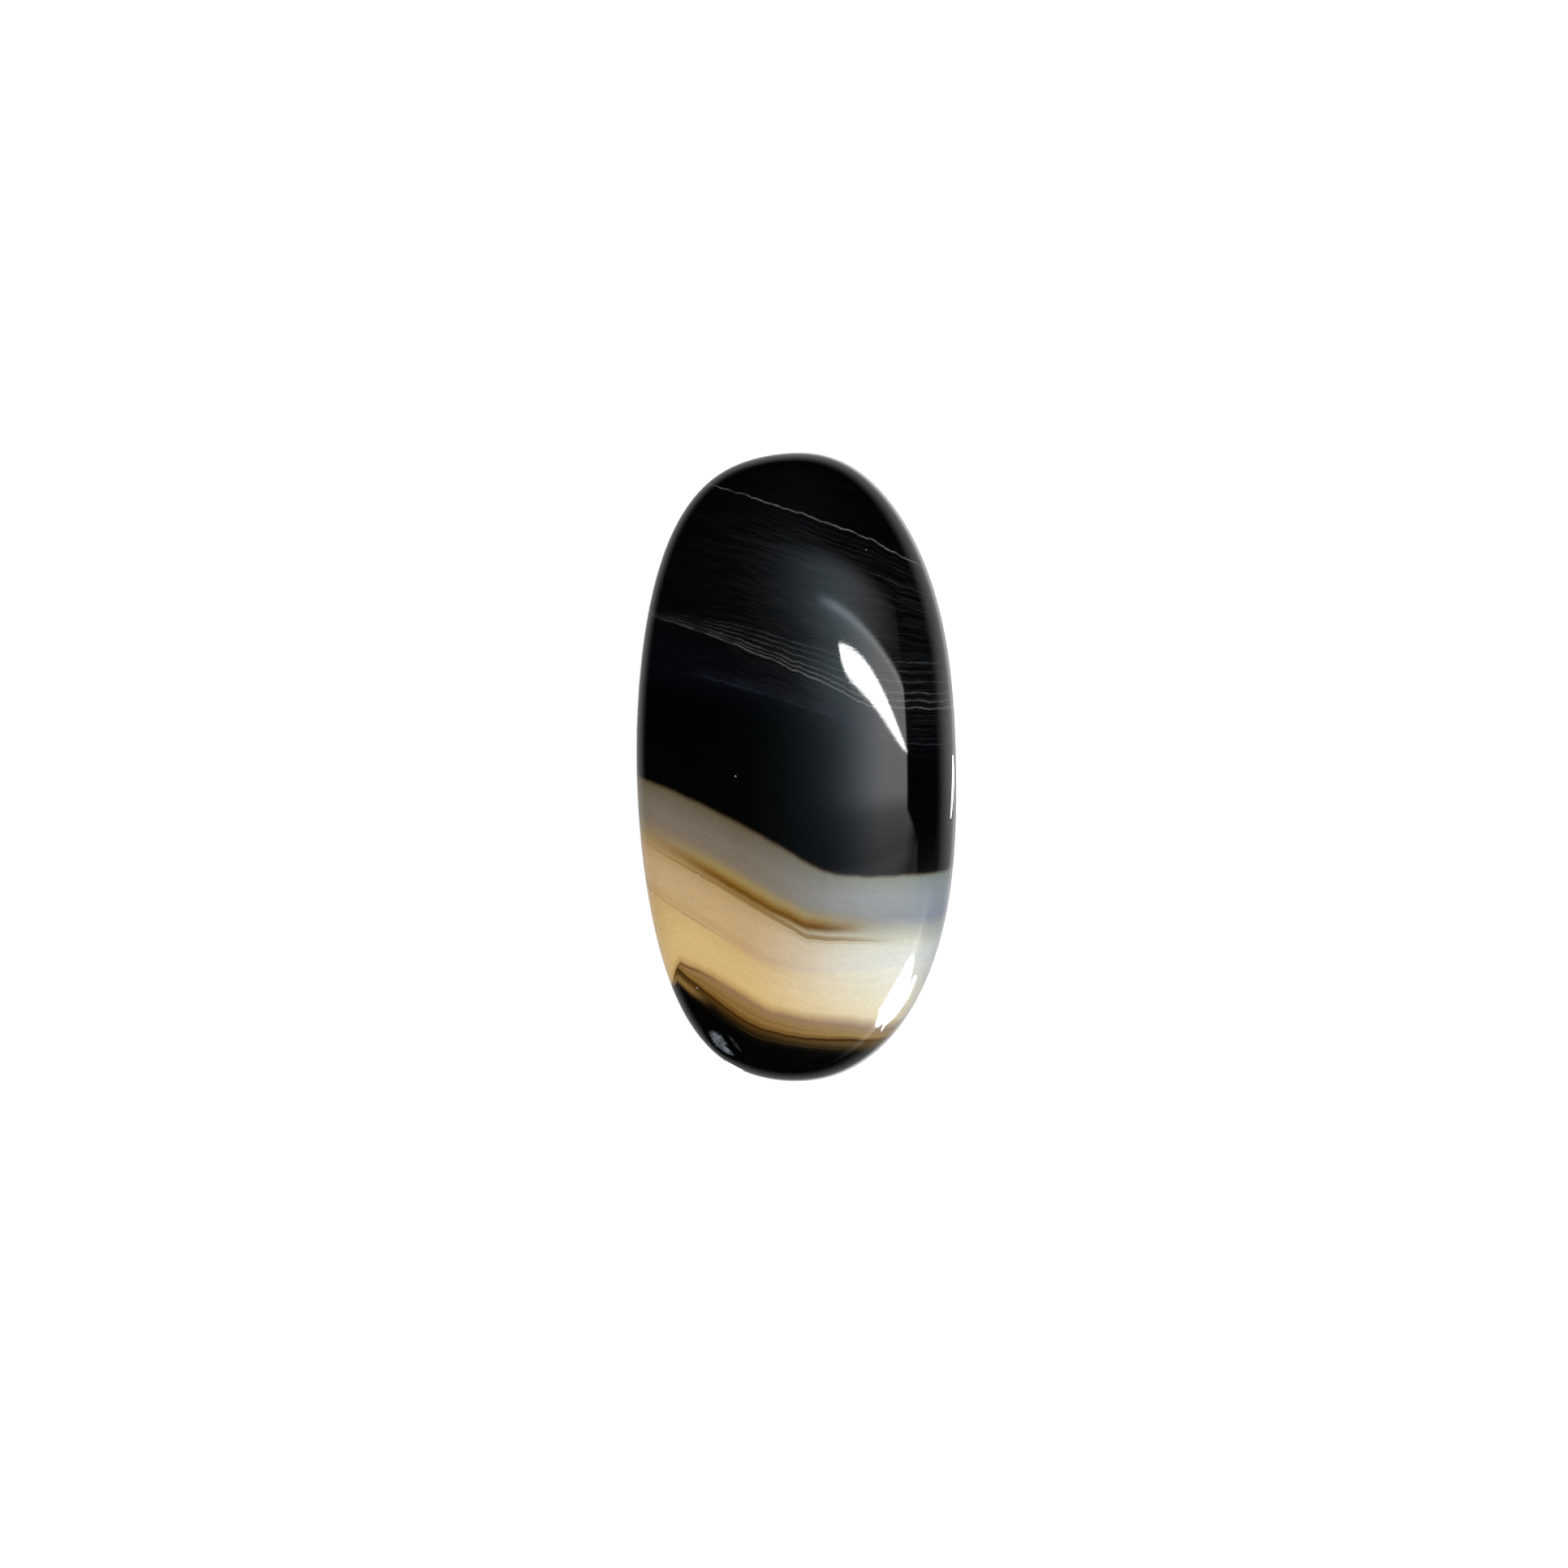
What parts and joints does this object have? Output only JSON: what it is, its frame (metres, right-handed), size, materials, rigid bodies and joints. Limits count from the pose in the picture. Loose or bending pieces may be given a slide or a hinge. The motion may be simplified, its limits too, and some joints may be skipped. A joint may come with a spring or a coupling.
{
  "type": "agate cabochon",
  "caption": "Polished long oval agate with a low domed front, banded black, grey, brown and honey, and a flat ground back to rest on or set in a mount.",
  "frame": {"origin": "middle of the oval outline, on the flat back", "axes": "+Z out of the domed front, +Y along the oval's length, +X across it"},
  "size_m": [0.0202, 0.0398, 0.0054],
  "materials": {
    "agate": "polished to a mirror gloss"
  },
  "bodies": {
    "root": {"agate_stone": "agate"}
  },
  "joints": []
}
